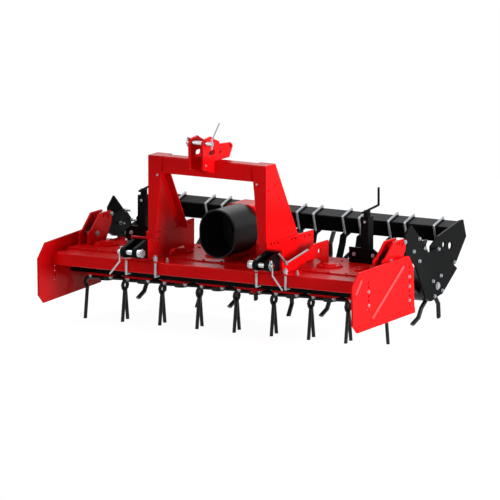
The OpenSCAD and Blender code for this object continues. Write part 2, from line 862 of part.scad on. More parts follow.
module scraper_clamps() {
    reach = beam_w / 2 + scraper_clamp_d / 2 + seat_gap;
    low = -beam_w / 2 - foot_t - clamp_end;
    color(steel) for (side = sides, x = scraper_xs) on_side(side)
        on_beam(x) bar([[0, -reach, low], [0, -reach, reach], [0, reach, reach], [0, reach, low]],
                       scraper_clamp_d);
}

module scrapers() {
    reach = beam_w / 2 + scraper_clamp_d / 2 + seat_gap;
    top = -beam_w / 2;
    line = outline(scraper_shares, scraper_y, scraper_z, scraper_l, scraper_h);
    color(black) for (side = sides, x = scraper_xs) on_side(side) difference() {
        union() {
            on_beam(x) block([-scraper_w / 2, foot_front, top - foot_t], [scraper_w / 2, foot_rear, top]);
            plate_yz(strip(line, scraper_t), x - scraper_w / 2, scraper_w);
        }
        on_beam(x) for (s = sides) translate([0, s * reach, top - foot_t - over])
            cylinder(h = foot_t + 2 * over, d = scraper_clamp_d + 2 * seat_gap);
    }
}

// Spiked roller

module spike() {
    bar([for (s = spike_shares) [0, -s[1] * roller_r * sin(s[0]), -s[1] * roller_r * cos(s[0])]], spike_d);
}

module roller() {
    half = (ring_total - 1) / 2;
    stub_half = arm_x + arm_t + side_t;
    step = whole_turn / spikes_per_ring;
    color(black) translate([0, roller_y, roller_z]) union() {
        rotate([0, quarter, 0]) cylinder(h = 2 * drum_half, r = drum_r, center = true);
        rotate([0, quarter, 0]) cylinder(h = 2 * stub_half, r = stub_r, center = true);
        for (ring = [0 : ring_total - 1], i = [0 : spikes_per_ring - 1])
            intersection() {
                translate([(ring - half) * ring_pitch, 0, 0])
                    rotate([i * step + spike_tip_angle + ((ring + 1) % 2) * step / 2, 0, 0]) spike();
                rotate([0, quarter, 0]) cylinder(h = 2 * drum_half, r = roller_r, center = true);
            }
    }
}

in_frame() trough();
in_frame() trough_floor();
in_frame() cover();
in_frame() front_bar();
in_frame() rear_bar();
in_frame() bar_clamps();
in_frame() bearing_flanges();
in_frame() end_plate(-1);  // end_plate_left
in_frame() end_plate(1);  // end_plate_right
in_frame() upright(-1);  // upright_left
in_frame() upright(1);  // upright_right
in_frame() cross_tube();
in_frame() base(-1);  // base_left
in_frame() base(1);  // base_right
in_frame() top_hitch();
in_frame() top_pin();
in_frame() clevis(-1);  // clevis_left
in_frame() clevis(1);  // clevis_right
in_frame() lower_pin(-1);  // lower_pin_left
in_frame() lower_pin(1);  // lower_pin_right
in_frame() gearbox();
in_frame() pto_guard();
in_frame() pto_shaft();
in_frame() arm_bracket(-1);  // arm_bracket_left
in_frame() arm_bracket(1);  // arm_bracket_right
in_frame() arm_pins();
in_frame() jack(-1);  // jack_left
in_frame() jack(1);  // jack_right
in_frame() crank(-1);  // crank_left
in_frame() crank(1);  // crank_right
in_frame() levelling_bar();
in_frame() rotor(1);  // rotor_1
in_frame() rotor(2);  // rotor_2
in_frame() rotor(3);  // rotor_3
in_frame() rotor(4);  // rotor_4
in_frame() rotor(5);  // rotor_5
in_frame() rotor(6);  // rotor_6
in_frame() rotor(7);  // rotor_7
in_frame() rotor(8);  // rotor_8
in_frame() arm(-1);  // arm_left
in_frame() arm(1);  // arm_right
in_frame() side_plate(-1);  // side_plate_left
in_frame() side_plate(1);  // side_plate_right
in_frame() scraper_beam();
in_frame() scraper_clamps();
in_frame() scrapers();
in_frame() roller();
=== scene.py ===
"""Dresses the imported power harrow: finishes, fasteners, small fittings, floor, lights and camera."""

import json
import logging
import math
from dataclasses import dataclass, field
from enum import Enum
from typing import Any, Iterable, Sequence

import bpy
from mathutils import Matrix, Vector

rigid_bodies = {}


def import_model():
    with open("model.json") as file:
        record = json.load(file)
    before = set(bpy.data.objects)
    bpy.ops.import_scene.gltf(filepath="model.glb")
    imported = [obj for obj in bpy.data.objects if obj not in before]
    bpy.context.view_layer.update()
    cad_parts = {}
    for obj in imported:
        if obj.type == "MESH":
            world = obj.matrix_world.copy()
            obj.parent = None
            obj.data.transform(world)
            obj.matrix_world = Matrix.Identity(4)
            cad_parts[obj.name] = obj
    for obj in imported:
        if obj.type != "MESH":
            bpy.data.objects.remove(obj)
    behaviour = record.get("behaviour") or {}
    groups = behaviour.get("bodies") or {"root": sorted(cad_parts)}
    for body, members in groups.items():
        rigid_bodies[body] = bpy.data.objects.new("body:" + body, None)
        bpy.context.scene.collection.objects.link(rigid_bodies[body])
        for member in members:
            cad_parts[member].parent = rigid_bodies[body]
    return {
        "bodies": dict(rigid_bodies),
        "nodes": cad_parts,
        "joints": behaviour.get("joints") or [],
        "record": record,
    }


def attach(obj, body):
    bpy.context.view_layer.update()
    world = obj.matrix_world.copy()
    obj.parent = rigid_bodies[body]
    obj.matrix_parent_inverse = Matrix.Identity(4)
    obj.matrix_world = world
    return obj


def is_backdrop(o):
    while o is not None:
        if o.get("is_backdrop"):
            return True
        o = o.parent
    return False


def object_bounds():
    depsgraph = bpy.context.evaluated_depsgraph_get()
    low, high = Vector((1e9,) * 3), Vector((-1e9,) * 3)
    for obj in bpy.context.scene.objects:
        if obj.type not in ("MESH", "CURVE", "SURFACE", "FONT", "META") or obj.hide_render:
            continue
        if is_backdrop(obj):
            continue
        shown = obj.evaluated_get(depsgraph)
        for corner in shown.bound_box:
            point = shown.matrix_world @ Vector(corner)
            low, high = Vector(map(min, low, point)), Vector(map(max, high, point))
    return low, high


LOG = logging.getLogger("harrow")
# Row of rotors along the machine, in millimetres from the model's origin
ROTOR_LINE = -226.0
MM = 0.001
SIDES = (-1, 1)


def at(x: float, y: float, z: float) -> Vector:
    """Turns a place in millimetres, with y counted from the row of rotors, into the model's metres."""
    return Vector((x * MM, (y + ROTOR_LINE) * MM, z * MM))


def srgb(code: str, alpha: float = 1.0) -> tuple[float, float, float, float]:
    """Turns an sRGB hex colour into linear values.

    Args:
        code: six hex digits after a hash.
        alpha: opacity.

    Returns:
        Linear red, green, blue and alpha.
    """
    values = [int(code[i:i + 2], 16) / 255 for i in (1, 3, 5)]
    linear = [v / 12.92 if v <= 0.04045 else ((v + 0.055) / 1.055) ** 2.4 for v in values]
    return linear[0], linear[1], linear[2], alpha


def add_node(tree: bpy.types.NodeTree, kind: str, inputs: dict[Any, Any] | None = None,
             **settings: Any) -> bpy.types.Node:
    """Adds one shader node with its settings, values and links.

    Args:
        tree: the material's or world's node tree.
        kind: the node's type name.
        inputs: value or output socket for each named or numbered input.
        settings: the node's own properties.

    Returns:
        The new node.
    """
    node = tree.nodes.new(kind)
    for name, value in settings.items():
        setattr(node, name, value)
    for name, value in (inputs or {}).items():
        if isinstance(value, bpy.types.NodeSocket):
            tree.links.new(value, node.inputs[name])
        else:
            node.inputs[name].default_value = value
    return node


class Axis(Enum):
    """Directions that a fastener's head can point to."""

    LEFT = Vector((-1, 0, 0))
    RIGHT = Vector((1, 0, 0))
    FRONT = Vector((0, -1, 0))
    UP = Vector((0, 0, 1))
    DOWN = Vector((0, 0, -1))


@dataclass(frozen=True)
class Finish:
    """One real surface finish, with a tone that drifts a little and a fine grain in the bump.

    The tone's drift and the grain are given by their real sizes in millimetres.
    """

    name: str
    tone: str
    second_tone: str
    roughness: tuple[float, float]
    metallic: float = 0.0
    ior: float = 1.5
    shine: float = 0.5
    coat: float = 0.0
    drift_mm: float = 220.0
    grain_mm: float = 6.0
    grain_depth: float = 0.02
    brushed: bool = False

    def build(self) -> bpy.types.Material:
        """Makes the node material of this finish."""
        material = bpy.data.materials.new(self.name)
        material.use_nodes = True
        tree = material.node_tree
        tree.nodes.clear()
        place = add_node(tree, "ShaderNodeTexCoord")
        stretch = (1.0, 1.0, 9.0) if self.brushed else (1.0, 1.0, 1.0)
        mapped = add_node(tree, "ShaderNodeMapping", {"Vector": place.outputs["Object"], "Scale": stretch})
        drift = add_node(tree, "ShaderNodeTexNoise",
                         {"Vector": mapped.outputs[0], "Scale": 1000 / self.drift_mm, "Detail": 5.0})
        grain = add_node(tree, "ShaderNodeTexNoise",
                         {"Vector": mapped.outputs[0], "Scale": 1000 / self.grain_mm, "Detail": 3.0})
        tone = add_node(tree, "ShaderNodeValToRGB", {"Fac": drift.outputs["Fac"]})
        tone.color_ramp.elements[0].position = 0.35
        tone.color_ramp.elements[0].color = srgb(self.second_tone)
        tone.color_ramp.elements[1].position = 0.65
        tone.color_ramp.elements[1].color = srgb(self.tone)
        low, high = self.roughness
        rough = add_node(tree, "ShaderNodeMapRange", {"Value": grain.outputs["Fac"], "From Min": 0.3,
                                                      "From Max": 0.7, "To Min": low, "To Max": high})
        bump = add_node(tree, "ShaderNodeBump", {"Height": grain.outputs["Fac"], "Strength": self.grain_depth,
                                                 "Distance": self.grain_mm * MM})
        shader = add_node(tree, "ShaderNodeBsdfPrincipled", {
            "Base Color": tone.outputs["Color"], "Roughness": rough.outputs["Result"],
            "Normal": bump.outputs["Normal"], "Metallic": self.metallic, "IOR": self.ior,
            "Specular IOR Level": self.shine, "Coat Weight": self.coat, "Coat Roughness": 0.08})
        add_node(tree, "ShaderNodeOutputMaterial", {"Surface": shader.outputs["BSDF"]})
        return material


# Glossy polyester powder coat on sheet steel: deep red with a slight orange peel
RED_COAT = Finish("red_powder_coat", "#e00d11", "#d80b0f", (0.2, 0.28), ior=1.35, shine=0.08, grain_mm=5.0,
                  grain_depth=0.03)
# The same red coat, made paler as a painted highlight along the crown of each pressed rib
RIB_HIGHLIGHT_PAINT = Finish("red_painted_rib_highlight", "#f0494c", "#ea4145", (0.2, 0.28), ior=1.35, shine=0.15,
                  grain_mm=5.0, grain_depth=0.03)
# Satin black machinery enamel: dark grey-black with a soft sheen
BLACK_ENAMEL = Finish("black_enamel", "#0f1011", "#0b0c0d", (0.22, 0.32), ior=1.2, shine=0.12,
                      grain_mm=4.0, grain_depth=0.05)
# Forged spring steel dipped in black paint: a little rougher and uneven
TINE_ENAMEL = Finish("black_dipped_spring_steel", "#101012", "#0a0a0c", (0.3, 0.44), ior=1.4, shine=0.3,
                     drift_mm=60.0, grain_mm=5.0, grain_depth=0.08)
# Bright zinc plating on fasteners: pale, slightly blue and cloudy
ZINC = Finish("bright_zinc_plate", "#a8acb0", "#94989c", (0.3, 0.45), metallic=0.65, drift_mm=30.0,
              grain_mm=3.0, grain_depth=0.03)
# Turned and polished steel pins: clear reflections with fine turning marks
PIN_STEEL = Finish("polished_pin_steel", "#b4b8bc", "#a3a7ab", (0.14, 0.24), metallic=1.0, drift_mm=40.0,
                   grain_mm=2.0, grain_depth=0.02, brushed=True)
# Rotation-moulded polyethylene of the drive guard: black with a fine leather-like skin
GUARD_PLASTIC = Finish("moulded_polyethylene", "#0b0c0d", "#08090a", (0.42, 0.54), ior=1.45, shine=0.22,
                       grain_mm=3.0, grain_depth=0.12)


class Paintbox:
    """Builds each finish once and hands it out."""

    def __init__(self) -> None:
        """Starts with no material built."""
        self.built: dict[str, bpy.types.Material] = {}

    def get(self, finish: Finish) -> bpy.types.Material:
        """Returns the material of a finish."""
        if finish.name not in self.built:
            self.built[finish.name] = finish.build()
        return self.built[finish.name]

    def paint(self, piece: bpy.types.Object, finish: Finish) -> None:
        """Gives a piece one finish all over."""
        piece.data.materials.clear()
        piece.data.materials.append(self.get(finish))


class Bench:
    """Modelling steps with Blender's operators."""

    @staticmethod
    def clear() -> None:
        """Leaves edit mode and deselects everything."""
        if bpy.context.object and bpy.context.object.mode != "OBJECT":
            bpy.ops.object.mode_set(mode="OBJECT")
        bpy.ops.object.select_all(action="DESELECT")

    @staticmethod
    def pick_faces(piece: bpy.types.Object, normal: Vector, above: float = -1e9) -> None:
        """Selects, in edit mode, the faces that look along a direction.

        Args:
            piece: object in edit mode.
            normal: direction in the piece's own frame.
            above: least distance of a face along that direction.
        """
        bpy.ops.mesh.select_all(action="DESELECT")
        bpy.ops.mesh.select_mode(type="FACE")
        bpy.ops.object.mode_set(mode="OBJECT")
        for face in piece.data.polygons:
            face.select = face.normal.dot(normal) > 0.95 and face.center.dot(normal) > above
        bpy.ops.object.mode_set(mode="EDIT")

    @classmethod
    def drum(cls, name: str, radius: float, height: float, corners: int, chamfer: float) -> bpy.types.Object:
        """Turns a short round or hexagonal block on +Z with a chamfered top.

        Args:
            name: the object's name.
            radius: outer radius in millimetres.
            height: height in millimetres.
            corners: number of corners round it.
            chamfer: width of the top's chamfer in millimetres.

        Returns:
            The block, standing on z = 0.
        """
        cls.clear()
        bpy.ops.mesh.primitive_cylinder_add(vertices=corners, radius=radius * MM, depth=height * MM,
                                            location=(0, 0, height * MM / 2))
        piece = bpy.context.object
        piece.name = name
        bpy.ops.object.transform_apply(location=True, rotation=True, scale=True)
        bpy.ops.object.mode_set(mode="EDIT")
        cls.pick_faces(piece, Vector((0, 0, 1)))
        bpy.ops.mesh.inset(thickness=chamfer * MM, depth=0.0)
        bpy.ops.mesh.select_all(action="DESELECT")
        bpy.ops.object.mode_set(mode="OBJECT")
        rim = radius * MM * math.cos(math.pi / corners) - chamfer * MM * 0.5
        for corner in piece.data.vertices:
            if corner.co.z > height * MM * 0.9 and corner.co.xy.length > rim:
                corner.co.z -= chamfer * MM * 0.6
        return piece

    @classmethod
    def join(cls, pieces: Sequence[bpy.types.Object], name: str) -> bpy.types.Object:
        """Joins pieces to one object with that name."""
        cls.clear()
        for piece in pieces:
            piece.select_set(True)
        bpy.context.view_layer.objects.active = pieces[0]
        bpy.ops.object.join()
        pieces[0].name = name
        pieces[0].data.name = name
        return pieces[0]

    @classmethod
    def spread(cls, model: bpy.types.Object, places: Iterable[Matrix], name: str) -> bpy.types.Object:
        """Copies a model to each place, joins the copies and removes the model.

        Args:
            model: piece modelled at the origin.
            places: where each copy goes.
            name: name of the joined piece.

        Returns:
            The joined piece, at the origin.
        """
        copies = []
        for place in places:
            copy = model.copy()
            copy.data = model.data.copy()
            bpy.context.collection.objects.link(copy)
            copy.data.transform(place)
            copies.append(copy)
        bpy.data.objects.remove(model, do_unlink=True)
        return cls.join(copies, name)

    @classmethod
    def smooth(cls, piece: bpy.types.Object, degrees: float = 35.0) -> None:
        """Smooths a piece's shading up to an angle."""
        cls.clear()
        piece.select_set(True)
        bpy.context.view_layer.objects.active = piece
        bpy.ops.object.shade_smooth_by_angle(angle=math.radians(degrees))

    @classmethod
    def wire(cls, name: str, points: Sequence[Vector], radius: float,
             closed: bool = False) -> bpy.types.Object:
        """Bends a round wire along points and makes it a mesh.

        Args:
            name: the object's name.
            points: places in metres.
            radius: the wire's radius in millimetres.
            closed: whether the wire runs back to its first point.

        Returns:
            The wire, at the origin.
        """
        cls.clear()
        bpy.ops.curve.primitive_bezier_curve_add(location=(0, 0, 0))
        piece = bpy.context.object
        piece.name = name
        curve = piece.data
        curve.splines.clear()
        line = curve.splines.new("POLY")
        line.points.add(len(points) - 1)
        for spot, point in zip(line.points, points):
            spot.co = (*point, 1.0)
        line.use_cyclic_u = closed
        curve.dimensions = "3D"
        curve.bevel_depth = radius * MM
        curve.bevel_resolution = 4
        curve.use_fill_caps = True
        bpy.ops.object.convert(target="MESH")
        return bpy.context.object


def facing(place: Vector, way: Axis, turn: float = 0.0) -> Matrix:
    """Puts a fastener modelled on +Z at a place, with its head towards a direction.

    Args:
        place: point on the surface, in metres.
        way: the direction of its head.
        turn: turn about its own axis in degrees.

    Returns:
        The placing matrix.
    """
    stand = way.value.to_track_quat("Z", "Y").to_matrix().to_4x4()
    return Matrix.Translation(place) @ stand @ Matrix.Rotation(math.radians(turn), 4, "Z")


def rounded(points: Sequence[Vector], radius: float, steps: int = 6) -> list[Vector]:
    """Rounds the corners of a line of points.

    Args:
        points: corner points in metres.
        radius: bend radius in millimetres.
        steps: pieces per bend.

    Returns:
        The line with bends.
    """
    line = [points[0]]
    for before, corner, after in zip(points, points[1:], points[2:]):
        back, ahead = (before - corner).normalized(), (after - corner).normalized()
        cut = min(radius * MM / math.tan(back.angle(ahead) / 2), (before - corner).length / 2,
                  (after - corner).length / 2)
        start, end = corner + back * cut, corner + ahead * cut
        for step in range(steps + 1):
            t = step / steps
            line.append(start * (1 - t) ** 2 + corner * 2 * t * (1 - t) + end * t ** 2)
    return line + [points[-1]]


@dataclass
class Bolting:
    """A hexagon bolt's head or nut on a washer, sized in millimetres."""

    across: float = 17.0
    height: float = 7.0
    washer_r: float = 11.5
    washer_h: float = 2.0
    stud_r: float = 5.0
    stud_h: float = 0.0

    def model(self) -> bpy.types.Object:
        """Models the washer, the hexagon and, where it has one, the stud's end."""
        radius = self.across / math.sqrt(3)
        parts = [Bench.drum("washer", self.washer_r, self.washer_h, 20, 0.5)]
        head = Bench.drum("hexagon", radius, self.height, 6, radius * 0.16)
        head.data.transform(Matrix.Translation((0, 0, self.washer_h * MM)))
        parts.append(head)
        if self.stud_h:
            stud = Bench.drum("stud", self.stud_r, self.stud_h, 12, 1.0)
            stud.data.transform(Matrix.Translation((0, 0, (self.washer_h + self.height) * MM)))
            parts.append(stud)
        return Bench.join(parts, "bolting")

    def row(self, places: Sequence[tuple[Vector, Axis]], name: str) -> bpy.types.Object:
        """Puts one bolting at each place and joins them."""
        spots = [facing(place, way, 11.0 * number) for number, (place, way) in enumerate(places)]
        piece = Bench.spread(self.model(), spots, name)
        Bench.smooth(piece, 30.0)
        return piece


class Harrow:
    """The whole machine: keeps the paintbox and hands pieces to the frame."""

    def __init__(self) -> None:
        """Loads the frame and keeps the solids' box."""
        self.frame: dict[str, Any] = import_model()
        self.solid_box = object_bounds()
        self.paints = Paintbox()

    def keep(self, piece: bpy.types.Object, finish: Finish, body: str) -> None:
        """Paints a new piece and lets it ride on a body.

        Args:
            piece: the piece in place.
            finish: its finish.
            body: the body that it moves with.
        """
        self.paints.paint(piece, finish)
        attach(piece, body)
        LOG.info("%s rides on %s", piece.name, body)

    def paint_solids(self) -> None:
        """Gives every solid of the frame its finish."""
        by_slot = {"red_paint": RED_COAT, "black_paint": BLACK_ENAMEL, "zinc": ZINC, "bright_pin": PIN_STEEL,
                   "guard_plastic": GUARD_PLASTIC}
        slots = {part["node"]: part["material_slot"] for part in self.frame["record"]["subparts"]}
        for name, piece in self.frame["nodes"].items():
            finish = by_slot[slots[name]]
            if name.startswith("rotor") or name == "roller":
                finish = TINE_ENAMEL
            self.paints.paint(piece, finish)


@dataclass
class Trough:
    """Fasteners of the gear trough, its bearing covers and bearing flanges."""

    rotor_x: tuple[float, ...] = tuple(250.0 * (k - 3.5) for k in range(8))
    cover_z: float = 436.0
    disc_z: float = 447.0
    disc_bolt_r: float = 60.0
    flange_z: float = 266.0
    flange_bolt_half: float = 69.0
    bolts_round: int = 6
    edge_xs: tuple[float, ...] = tuple(120.0 * k for k in range(-8, 9))
    edge_ys: tuple[float, float] = (-178.0, 186.0)

    def ring(self, radius: float, z: float, way: Axis) -> list[tuple[Vector, Axis]]:
        """Lists places on a circle round every rotor."""
        spots = []
        for x in self.rotor_x:
            for k in range(self.bolts_round):
                angle = math.tau * (k + 0.5) / self.bolts_round
                spots.append((at(x + radius * math.cos(angle), radius * math.sin(angle), z), way))
        return spots

    def dress(self, harrow: Harrow) -> None:
        """Adds the bolts to the trough."""
        cover = Bolting(13.0, 5.5, 9.0, 1.5).row(self.ring(self.disc_bolt_r, self.disc_z, Axis.UP),
                                                 "bearing_cover_bolts")
        harrow.keep(cover, RED_COAT, "frame")
        half = self.flange_bolt_half
        corners = [(at(x + a * half, b * half, self.flange_z), Axis.DOWN)
                   for x in self.rotor_x for a in SIDES for b in SIDES]
        nuts = Bolting(22.0, 11.0, 14.5, 2.5, 7.0, 5.0).row(corners, "bearing_flange_bolts")
        harrow.keep(nuts, ZINC, "frame")
        spots = [(x, self.edge_ys[0]) for x in self.edge_xs if not 380 < abs(x) < 520]
        spots += [(x, self.edge_ys[1]) for x in self.edge_xs if 125 < abs(x) < 380 or 520 < abs(x) < 630]
        edge = [(at(x, y, self.cover_z), Axis.UP) for x, y in spots]
        bolts = Bolting(13.0, 5.5, 9.0, 1.5).row(edge, "cover_edge_bolts")
        harrow.keep(bolts, RED_COAT, "frame")


@dataclass
class EndPlates:
    """Bolts that hold the end plates, and paler strips along their pressed ribs that paint a highlight."""

    face_x: float = 1057.0
    rows: tuple[tuple[float, tuple[float, ...]], ...] = ((-296.0, (286.0, 366.9)),
                                                         (179.1, (246.0, 329.5, 385.2)))

    ribs: tuple[tuple[tuple[float, float], ...], ...] = (((108.2, 455.8), (-256.5, 201.4)),
                                                         ((-380.8, 445.0), (-448.1, 368.0)))
    crown_x: float = 1060.2
    crown_r: float = 10.0
    crown_flat: float = 0.32

    def crowns(self, harrow: Harrow) -> None:
        """Lays a flat half-round strip along every rib, painted paler as a highlight."""
        parts = []
        for side in SIDES:
            for rib in self.ribs:
                crown = Bench.wire("rib_crown", [at(0.0, y, z) for y, z in rib], self.crown_r)
                crown.data.transform(Matrix.Scale(self.crown_flat, 4, Vector((1, 0, 0))))
                crown.data.transform(Matrix.Translation((side * self.crown_x * MM, 0, 0)))
                parts.append(crown)
        piece = Bench.join(parts, "end_plate_rib_highlights")
        Bench.smooth(piece, 50.0)
        # the paler red of these strips is a painted highlight, not a thinner coat
        harrow.keep(piece, RIB_HIGHLIGHT_PAINT, "frame")

    def dress(self, harrow: Harrow) -> None:
        """Adds the bolts and the ribs' painted highlight strips to both plates."""
        self.crowns(harrow)
        spots = [(at(side * self.face_x, y, z), outward(side))
                 for side in SIDES for y, heights in self.rows for z in heights]
        harrow.keep(Bolting(13.0, 5.5, 9.5, 2.0).row(spots, "end_plate_bolts"), ZINC, "frame")


def outward(side: int) -> Axis:
    """Returns the direction away from the machine on one side."""
    return Axis.RIGHT if side > 0 else Axis.LEFT


@dataclass
class Headstock:
    """Bolts of the headstock and of the bar below it, nuts of the hook bolts, and the latch rods."""

    flange: tuple[float, float, float] = (334.0, -345.0, 945.0)
    hook_xs: tuple[float, ...] = (340.0, 535.0)
    hook: tuple[float, float] = (-358.3, 449.0)
    bar_xs: tuple[float, ...] = (300.0, 575.0)
    bar: tuple[float, float] = (-290.0, 428.0)
    latch_x: float = 514.0
    latch: tuple[tuple[float, float], ...] = ((-397.0, 558.0), (-311.0, 491.0), (-62.0, 533.0))
    latch_eye: tuple[float, float] = (-311.0, 491.0)
    hitch_x: float = 50.0
    hitch_bolt: tuple[float, float] = (-444.0, 1046.0)

    def bolts(self, harrow: Harrow) -> None:
        """Adds the bolts of the uprights, the hitch plates and the front bar, and the hook bolts' nuts."""
        x, y, z = self.flange
        seats = [(at(side * x, y, z), Axis.FRONT) for side in SIDES]
        seats += [(at(side * self.hitch_x, *self.hitch_bolt), outward(side)) for side in SIDES]
        harrow.keep(Bolting(10.0, 4.0, 6.5, 1.0).row(seats, "headstock_bolts"), ZINC, "frame")
        tops = [(at(side * x, *self.bar), Axis.UP) for side in SIDES for x in self.bar_xs]
        bolts = Bolting(16.0, 8.0, 11.0, 2.0, 6.0, 12.0).row(tops, "front_bar_bolts")
        harrow.keep(bolts, ZINC, "frame")
        ends = [(at(side * x, *self.hook), Axis.UP) for side in SIDES for x in self.hook_xs]
        nuts = Bolting(24.0, 12.0, 15.0, 2.5, 8.0, 8.0).row(ends, "hook_bolt_nuts")
        harrow.keep(nuts, ZINC, "frame")

    def latches(self, harrow: Harrow) -> None:
        """Bends the latch rods on the bases' outer cheeks and seats their eyes."""
        rods = []
        for side in SIDES:
            line = rounded([at(side * self.latch_x, y, z) for y, z in self.latch], 14.0)
            rods.append(Bench.wire("latch_rod", line, 5.5))
            eye = Bench.drum("latch_eye", 13.0, 12.0, 24, 2.0)
            eye.data.transform(facing(at(side * (self.latch_x - 7.0), *self.latch_eye), outward(side)))
            rods.append(eye)
        piece = Bench.join(rods, "latch_rods")
        Bench.smooth(piece)
        harrow.keep(piece, ZINC, "frame")

    def dress(self, harrow: Harrow) -> None:
        """Adds all the headstock's small fittings."""
        self.bolts(harrow)
        self.latches(harrow)


@dataclass
class LinkPins:
    """Linch pins of the three linkage pins and castle nuts of the lower ones."""

    lower: tuple[float, float] = (-472.0, 496.0)
    nut_x: float = 368.0
    linch_x: float = 501.0
    top: tuple[float, float] = (-452.0, 1177.0)
    top_linch_x: float = -64.0
    stem_below: float = 14.0
    head_at: float = 6.0
    ring_r: float = 24.0
    ring_at: float = 12.0
    ring_steps: int = 28

    def linch(self, x: float, spot: tuple[float, float], pin_r: float) -> list[bpy.types.Object]:
        """Makes one upright linch pin with its sprung ring.

        Args:
            x: place across the machine in millimetres.
            spot: the linkage pin's axis as y and z.
            pin_r: radius of the linkage pin.

        Returns:
            The pin, its head and its ring.
        """
        y, z = spot
        top = z + pin_r + self.head_at
        stem = Bench.wire("linch_stem", [at(x, y, z - pin_r - self.stem_below), at(x, y, top + 2.0)], 4.5)
        head = Bench.drum("linch_head", 9.0, 12.0, 16, 3.0)
        head.data.transform(facing(at(x, y, top), Axis.UP))
        centre = z + pin_r + self.ring_at - self.ring_r
        ring = []
        for k in range(self.ring_steps):
            turn = math.tau * k / self.ring_steps
            ring.append(at(x + 2.0, y + self.ring_r * math.sin(turn), centre + self.ring_r * math.cos(turn)))
        return [stem, head, Bench.wire("linch_ring", ring, 2.2, closed=True)]

    def dress(self, harrow: Harrow) -> None:
        """Adds linch pins and castle nuts."""
        parts = self.linch(self.top_linch_x, self.top, 12.5)
        for side in SIDES:
            parts += self.linch(side * self.linch_x, self.lower, 14.0)
            nut = Bench.drum("castle_nut", 25.0, 14.0, 6, 3.0)
            nut.data.transform(facing(at(side * self.nut_x, *self.lower), outward(-side)))
            parts.append(nut)
        piece = Bench.join(parts, "linkage_pin_locks")
        Bench.smooth(piece, 32.0)
        harrow.keep(piece, ZINC, "frame")


@dataclass
class Drive:
    """Rolled lip of the drive guard, and the gearbox's bolts."""

    axis_z: float = 606.0
    radius: float = 120.0
    shift: float = 22.0
    front_y: float = -226.0
    gearbox_half: float = 110.0
    bolt_ys: tuple[float, ...] = (70.0, 170.0)
    bolt_zs: tuple[float, ...] = (500.0, 580.0, 660.0)
    steps: int = 72

    def oval(self, y: float, radius: float) -> list[Vector]:
        """Lists points of the guard's upright oval at one place along the machine."""
        points = []
        for k in range(self.steps):
            turn = math.tau * k / self.steps
            lift = self.shift if math.sin(turn) >= 0 else -self.shift
            points.append(at(radius * math.cos(turn), y, self.axis_z + lift + radius * math.sin(turn)))
        return points

    def dress(self, harrow: Harrow) -> None:
        """Adds the guard's lip and the gearbox's fasteners."""
        piece = Bench.wire("guard_lip", self.oval(self.front_y + 4.0, self.radius - 1.5), 4.5, closed=True)
        Bench.smooth(piece, 60.0)
        harrow.keep(piece, GUARD_PLASTIC, "frame")
        seats = [(at(side * self.gearbox_half, y, z), outward(side))
                 for side in SIDES for y in self.bolt_ys for z in self.bolt_zs]
        bolts = Bolting(17.0, 7.0, 11.5, 2.0).row(seats, "gearbox_bolts")
        harrow.keep(bolts, RED_COAT, "frame")


@dataclass
class Jacks:
    """Bolts of the levelling jacks' feet and pins in their tubes."""

    foot_xs: tuple[float, ...] = (685.0, 812.0)
    foot: tuple[float, float] = (180.0, 487.0)
    tube: tuple[float, float, float] = (750.0, 189.0, 680.0)

    def dress(self, harrow: Harrow) -> None:
        """Adds the bolts of the feet and the pins of the tubes."""
        y, z = self.foot
        seats = [(at(side * x, y, z), Axis.FRONT) for side in SIDES for x in self.foot_xs]
        harrow.keep(Bolting(17.0, 7.0, 12.0, 2.0).row(seats, "jack_foot_bolts"), ZINC, "frame")
        x, y, z = self.tube
        pins = [(at(side * x, y, z), Axis.FRONT) for side in SIDES]
        harrow.keep(Bolting(11.0, 3.5, 8.0, 1.5).row(pins, "jack_tube_pins"), ZINC, "frame")


@dataclass
class ArmBrackets:
    """Heads of the roller arms' pins."""

    outer_x: float = 1030.0
    inner_x: float = 944.0
    pivot: tuple[float, float] = (15.0, 493.0)
    depth: tuple[float, float] = (180.0, 587.0)

    def dress(self, harrow: Harrow) -> None:
        """Adds washers and heads to both ends of the pins."""
        seats = []
        for side in SIDES:
            seats += [(at(side * self.outer_x, *self.pivot), outward(side)),
                      (at(side * self.inner_x, *self.pivot), outward(-side))]
        harrow.keep(Bolting(24.0, 6.0, 18.0, 3.0).row(seats, "arm_pivot_heads"), ZINC, "frame")
        heads = []
        for side in SIDES:
            heads += [(at(side * self.outer_x, *self.depth), outward(side)),
                      (at(side * self.inner_x, *self.depth), outward(-side))]
        harrow.keep(Bolting(17.0, 5.0, 12.5, 2.5).row(heads, "depth_pin_heads"), ZINC, "frame")


